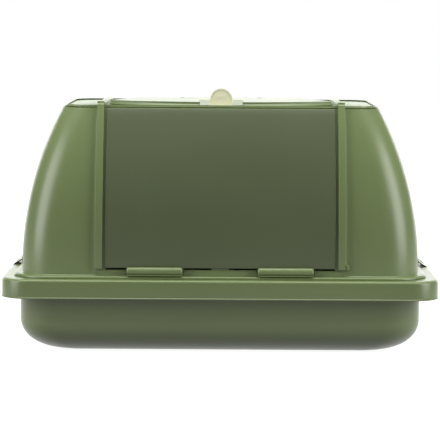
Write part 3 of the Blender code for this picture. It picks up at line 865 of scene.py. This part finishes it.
def makeLid():
    low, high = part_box("filter_cover")
    startClean()
    bpy.ops.mesh.primitive_grid_add(
        x_subdivisions=lid["columns"], y_subdivisions=1, size=2, location=(0, 0, lid["low"])
    )
    made = bpy.context.object
    made.name = "roofLid"
    placeInMesh(made)
    bpy.ops.object.mode_set(mode="EDIT")
    bpy.ops.mesh.select_all(action="SELECT")
    depth = (lid["back"] - lid["side"]) / 2
    bpy.ops.transform.resize(
        value=(lid["frontHalf"], depth, 1), center_override=(0, 0, lid["low"])
    )
    slide(y=(lid["back"] + lid["side"]) / 2)
    for x in steps(-lid["frontHalf"], lid["frontHalf"], lid["columns"]):
        share = x / lid["frontHalf"]
        pick("VERT", lambda v: abs(v.co.x - x) < 1e-4 and v.co.y < lid["side"] + 0.001)
        slide(y=(lid["bow"] - lid["side"]) * (1 - share * share))
    pick("VERT", lambda v: v.co.y > lid["back"] - 0.001)
    bpy.ops.transform.resize(
        value=(lid["backHalf"] / lid["frontHalf"], 1, 1), center_override=(0, 0, lid["low"])
    )
    bpy.ops.mesh.select_all(action="SELECT")
    bpy.ops.mesh.extrude_region_move(TRANSFORM_OT_translate={"value": (0, 0, lid["step"])})
    bpy.ops.mesh.inset(thickness=lid["slope"], depth=lid["slope"])
    bpy.ops.mesh.extrude_region_move(
        TRANSFORM_OT_translate={"value": (0, 0, high.z - lid["low"] - lid["step"] - lid["slope"])}
    )
    bpy.ops.mesh.select_all(action="SELECT")
    bpy.ops.mesh.normals_make_consistent(inside=False)
    bpy.ops.object.mode_set(mode="OBJECT")
    carve(made, roundedBlock(
        "notch", (-lid["notchHalf"], -0.16, 0.30), (lid["notchHalf"], lid["notchBack"], 0.34),
        lid["notchCorner"], "Z",
    ))
    # behind the notch the lid is scooped out, down towards the pull
    scoop = block(
        "scoop", (-lid["notchHalf"], lid["notchBack"] - 0.001, lid["scoopLow"]),
        (lid["notchHalf"], lid["scoopBack"], 0.34),
    )
    openMesh(scoop)
    pick("VERT", lambda v: v.co.z < lid["scoopLow"] + 1e-4 and v.co.y > lid["scoopBack"] - 0.001)
    slide(z=high.z - lid["scoopLow"])
    bpy.ops.object.mode_set(mode="OBJECT")
    carve(made, scoop)
    roundEdges(made, 0.0005, 2, 40)
    half = fittings["lidBarrelHalf"]
    neck = block(
        "lidNeck", (-half, lid["neck"], roofZ + 0.0016), (half, lidPin.y - 0.001, high.z)
    )
    roundEdges(neck, 0.0004, 2)
    weldTo(made, neck, roundBar("lidBarrel", lidPin, lid["barrel"], 2 * half, "X", 32))
    clear = lid["pocketClear"]
    pocket = block(
        "pocket", (basketLow.x - clear, basketLow.y - clear, 0.31),
        (basketHigh.x + clear, basketHigh.y + clear, lid["low"] + lid["pocketHigh"]),
    )
    carve(made, pocket, roundBar("bore", lidPin, fittings["thinBore"], 0.16, "X", 24))
    smooth(made)
    keepFlat(made)
    finishPiece(made, "filter_lid", shellPlastic, "shell_plastic", "filter_cover")


# The basket hangs in the roof and holds the felt pad over a slotted floor.
basket = {
    "wall": 0.0015, "flangeHigh": 0.0010, "slots": 9, "pitch": 0.015, "slotHalf": 0.0040,
    "slotCorner": 0.0036, "margin": 0.006,
}


def makeBasket():
    low, high = basketLow, basketHigh
    flange = ways["flange"]
    inner = (low.x + flange, low.y + flange, low.z)
    top = roofZ + 0.0004
    outer = (high.x - flange, high.y - flange, top + 0.0005)
    made = roundedBlock("filterBasket", inner, outer, 0.0010, "Z", 3)
    plate = roundedBlock(
        "basketFlange", (low.x, low.y, top), (high.x, high.y, top + basket["flangeHigh"]), 0.003, "Z"
    )
    weldTo(made, plate)
    wall = basket["wall"]
    carve(made, block(
        "basketRoom", (inner[0] + wall, inner[1] + wall, low.z + wall),
        (-inner[0] - wall, high.y - flange - wall, top + 0.01),
    ))
    for i in range(basket["slots"]):
        x = (i - (basket["slots"] - 1) / 2) * basket["pitch"]
        carve(made, roundedBlock(
            "slot", (x - basket["slotHalf"], inner[1] + basket["margin"], low.z - 0.01),
            (x + basket["slotHalf"], high.y - flange - basket["margin"], low.z + 0.01),
            basket["slotCorner"], "Z",
        ))
    smooth(made)
    finishPiece(made, "hood", shellPlastic, "shell_plastic", "filter_basket")


pad = {"inset": 0.0004, "under": 0.0005, "round": 0.0022, "cuts": 24, "fluff": 0.0009, "tufts": 0.012}


def makePad():
    low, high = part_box("carbon_filter")
    inset = Vector((pad["inset"], pad["inset"], pad["under"]))
    made = block("filterPad", low + inset, high - inset)
    roundEdges(made, pad["round"], 4)
    openMesh(made)
    bpy.ops.mesh.select_all(action="SELECT")
    bpy.ops.mesh.quads_convert_to_tris()
    bpy.ops.mesh.tris_convert_to_quads()
    bpy.ops.mesh.subdivide(number_cuts=pad["cuts"])
    bpy.ops.object.mode_set(mode="OBJECT")
    fluff = bpy.data.textures.new("fluff", "CLOUDS")
    fluff.noise_scale = pad["tufts"]
    useModifier(
        made, "DISPLACE", texture=fluff, strength=-pad["fluff"], mid_level=0.0, texture_coords="LOCAL"
    )
    smooth(made, 60)
    finishPiece(made, "hood", filterFelt, "filter_felt", "carbon_filter")


makeLid()
makeBasket()
makePad()
print("roof filter made")

# The rear entrance: a short tunnel that stands a little proud of the wall, and its hanging flap.
entrance = {
    "wall": 0.003, "proud": 0.002, "corner": 0.004, "flapClear": 0.0015, "footClear": 0.003,
    "flapThick": 0.003, "knuckle": 0.0038, "border": 0.008, "borderSlope": 0.0010, "panel": 0.0008,
    "flapCorner": 0.006,
}
flapPin = Vector((0, middleOf("flap_pin_left").y, middleOf("flap_pin_left").z))


def makeFrame():
    low, high = frameLow, frameHigh
    made = block("entranceFrame", low, (high.x, 0.1900, high.z))
    wall = entrance["wall"]
    inside = roundedBlock(
        "frameInside", (low.x + wall, 0.05, low.z + wall), (high.x - wall, 0.25, high.z - wall),
        entrance["corner"], "Y",
    )
    startClean()
    z = low.z - 0.01
    y = -frontAt(z, entrance["proud"])
    bpy.ops.mesh.primitive_plane_add(size=2, location=(0, y + 0.05, z))
    trim = bpy.context.object
    placeInMesh(trim)
    bpy.ops.object.mode_set(mode="EDIT")
    bpy.ops.mesh.select_all(action="SELECT")
    bpy.ops.transform.resize(value=(0.2, 0.05, 1), center_override=(0, y + 0.05, z))
    for nextZ in steps(z, high.z + 0.01, 14)[1:]:
        nextY = -frontAt(nextZ, entrance["proud"])
        bpy.ops.mesh.extrude_region_move(
            TRANSFORM_OT_translate={"value": (0, nextY - y, nextZ - z)}
        )
        y, z = nextY, nextZ
    bpy.ops.mesh.select_all(action="SELECT")
    bpy.ops.mesh.normals_make_consistent(inside=False)
    bpy.ops.object.mode_set(mode="OBJECT")
    carve(made, trim, inside, roundBar("bore", flapPin, fittings["pinBore"], 0.4, "X", 24))
    roundEdges(made, 0.0006, 3, 55)
    smooth(made)
    keepFlat(made)
    finishPiece(made, "hood", shellPlastic, "shell_plastic", "entrance_frame")


def makeFlap():
    half = frameHigh.x - entrance["wall"] - entrance["flapClear"]
    foot = frameLow.z + entrance["wall"] + entrance["footClear"]
    thick = entrance["flapThick"]
    low = (-half, flapPin.y - thick / 2, foot)
    made = block("flapPanel", low, (half, flapPin.y + thick / 2, flapPin.z))
    openMesh(made)
    pick("EDGE", lambda e: (
        abs(e.verts[0].co.y - e.verts[1].co.y) > 0.001 and middle(e).z < foot + 0.001
    ))
    bpy.ops.mesh.bevel(offset=entrance["flapCorner"], segments=6, affect="EDGES")
    for facing in (-1, 1):
        pick("FACE", lambda f: f.normal.y * facing > 0.9)
        bpy.ops.mesh.inset(thickness=entrance["border"], depth=0)
        bpy.ops.mesh.inset(thickness=entrance["borderSlope"], depth=-entrance["panel"])
    bpy.ops.object.mode_set(mode="OBJECT")
    softenEdges(made, 0.0004, lambda p: True, 2, 60)
    weldTo(made, roundBar("knuckle", flapPin, entrance["knuckle"], 2 * half, "X", 32))
    for side in (-1, 1):
        centre = flapPin + Vector((side * half, 0, 0))
        carve(made, roundBar("bore", centre, fittings["pinBore"], 0.020, "X", 24))
    smooth(made)
    finishPiece(made, "entrance_flap", smokePlastic, "flap_plastic", "flap")


makeFrame()
makeFlap()
print("entrance made")

# The side clips: a barrel on a pin, an arm over the rim and a nose down to it.
clip = {
    "half": 0.020, "barrel": 0.003, "under": 0.0010, "reach": 0.2824, "high": 0.0026, "fall": 0.0046,
    "low": 0.1004,
}


def makeClip(side, node):
    axis = Vector((side * clipPin.x, 0, clipPin.z))
    made = roundBar(node + "Lever", axis, clip["barrel"], 2 * clip["half"], "Y", 32)
    reach = side * clip["reach"]
    arm = block(
        "arm", (min(axis.x, reach), -clip["half"], axis.z - clip["under"]),
        (max(axis.x, reach), clip["half"], axis.z + clip["high"]),
    )
    openMesh(arm)
    pick("VERT", lambda v: abs(v.co.x - reach) < 1e-4 and v.co.z > axis.z)
    slide(z=-clip["fall"])
    pick("VERT", lambda v: abs(v.co.x - reach) < 1e-4 and v.co.z < axis.z - 0.0008)
    slide(z=clip["low"] - axis.z + clip["under"])
    bpy.ops.object.mode_set(mode="OBJECT")
    roundEdges(arm, 0.0007, 3)
    weldTo(made, arm)
    carve(made, roundBar("bore", axis, fittings["thinBore"], 0.08, "Y", 24))
    smooth(made)
    finishPiece(made, node, shellPlastic, "shell_plastic", node)


makeClip(-1, "clip_left")
makeClip(1, "clip_right")
print("clips made")

# The pins and the spring keep their shape and take the steel.
for node in ("door_pin_left", "door_pin_right", "flap_pin_left", "flap_pin_right",
             "clip_pin_left", "clip_pin_right", "cover_pin", "latch_spring"):
    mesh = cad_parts[node].data
    mesh.materials.clear()
    mesh.materials.append(pinSteel)
print("steel assigned")

# The camera, the lights and the white floor.
camera = {
    "distance": 2.642, "height": 0.434, "pitch": 5.51, "roll": 0.36, "lens": 169.4, "side": -0.0006,
}
room = {"below": 0.02, "level": 0.21, "above": 0.36, "floor": 0.93}
softboxes = {
    "overhead": {"place": (0, -0.15, 1.9), "target": (0, 0, 0.1), "size": (2.2, 1.1), "watts": 40},
    "leftBox": {"place": (-2.0, -0.9, 0.9), "target": (0, 0, 0.15), "size": (1.2, 1.7), "watts": 38},
    "rightBox": {"place": (2.0, -0.9, 0.9), "target": (0, 0, 0.15), "size": (1.2, 1.7), "watts": 42},
    "behind": {"place": (0, 3.2, 0.65), "target": (0, 0, 0.3), "size": (6.0, 1.3), "watts": 56},
}


def makeCamera():
    data = bpy.data.cameras.new("camera")
    data.lens = camera["lens"]
    data.sensor_width = 36
    made = bpy.data.objects.new("camera", data)
    bpy.context.scene.collection.objects.link(made)
    place = Vector((camera["side"], trayLow.y - camera["distance"], camera["height"]))
    made.matrix_world = (
        Matrix.Translation(place)
        @ Matrix.Rotation(math.radians(90 - camera["pitch"]), 4, "X")
        @ Matrix.Rotation(math.radians(camera["roll"]), 4, "Z")
    )
    bpy.context.scene.camera = made


def softbox(name, box):
    data = bpy.data.lights.new(name, "AREA")
    data.shape = "RECTANGLE"
    data.size, data.size_y = box["size"]
    data.energy = box["watts"]
    made = bpy.data.objects.new(name, data)
    bpy.context.scene.collection.objects.link(made)
    made.location = box["place"]
    facing = Vector(box["target"]) - Vector(box["place"])
    made.rotation_euler = facing.to_track_quat("-Z", "Y").to_euler()
    made.visible_camera = False


def makeWorld():
    # white behind the object; what lights it is brighter above than at the sides, and dark below
    world = bpy.data.worlds.new("studio")
    bpy.context.scene.world = world
    world.use_nodes = True
    tree = world.node_tree
    start = Wire(tree)
    seen = start.add("ShaderNodeLightPath", {}, {}, "Is Camera Ray")
    place = start.add("ShaderNodeTexCoord", {}, {}, "Generated")
    height = start.add("ShaderNodeSeparateXYZ", {}, {"Vector": place}, "Z")
    light = start.add("ShaderNodeValToRGB", {"stops": [
        (0.46, (room["below"],) * 3), (0.50, (room["level"],) * 3), (0.62, (room["level"],) * 3),
        (1.00, (room["above"],) * 3),
    ]}, {"Fac": height * 0.5 + 0.5})
    strength = seen + (1 - seen) * light
    background = tree.nodes["Background"]
    background.inputs["Color"].default_value = (1, 1, 1, 1)
    tree.links.new(strength.socket, background.inputs["Strength"])


def makeFloor():
    startClean()
    bpy.ops.mesh.primitive_plane_add(size=40, location=(0, 0, 0))
    floor = bpy.context.object
    floor.name = "floor"
    floor.visible_diffuse = False
    finish, start, shader = newFinish("floorPaper")
    place = start.add("ShaderNodeTexCoord", {}, {}, "Object")
    cloud = start.add("ShaderNodeTexNoise", {}, {"Vector": place, "Scale": 2.0})
    stops = [(0.3, (0.20, 0.20, 0.20)), (0.7, (0.22, 0.22, 0.22))]
    tone = start.add("ShaderNodeValToRGB", {"stops": stops}, {"Fac": cloud})
    start.tree.links.new(tone.socket, shader.inputs["Base Color"])
    shader.inputs["Roughness"].default_value = 0.9
    shader.inputs["Emission Color"].default_value = (1, 1, 1, 1)
    shader.inputs["Emission Strength"].default_value = room["floor"]
    floor.data.materials.append(finish)


makeCamera()
makeWorld()
makeFloor()
for name, box in softboxes.items():
    softbox(name, box)
print("stage ready")
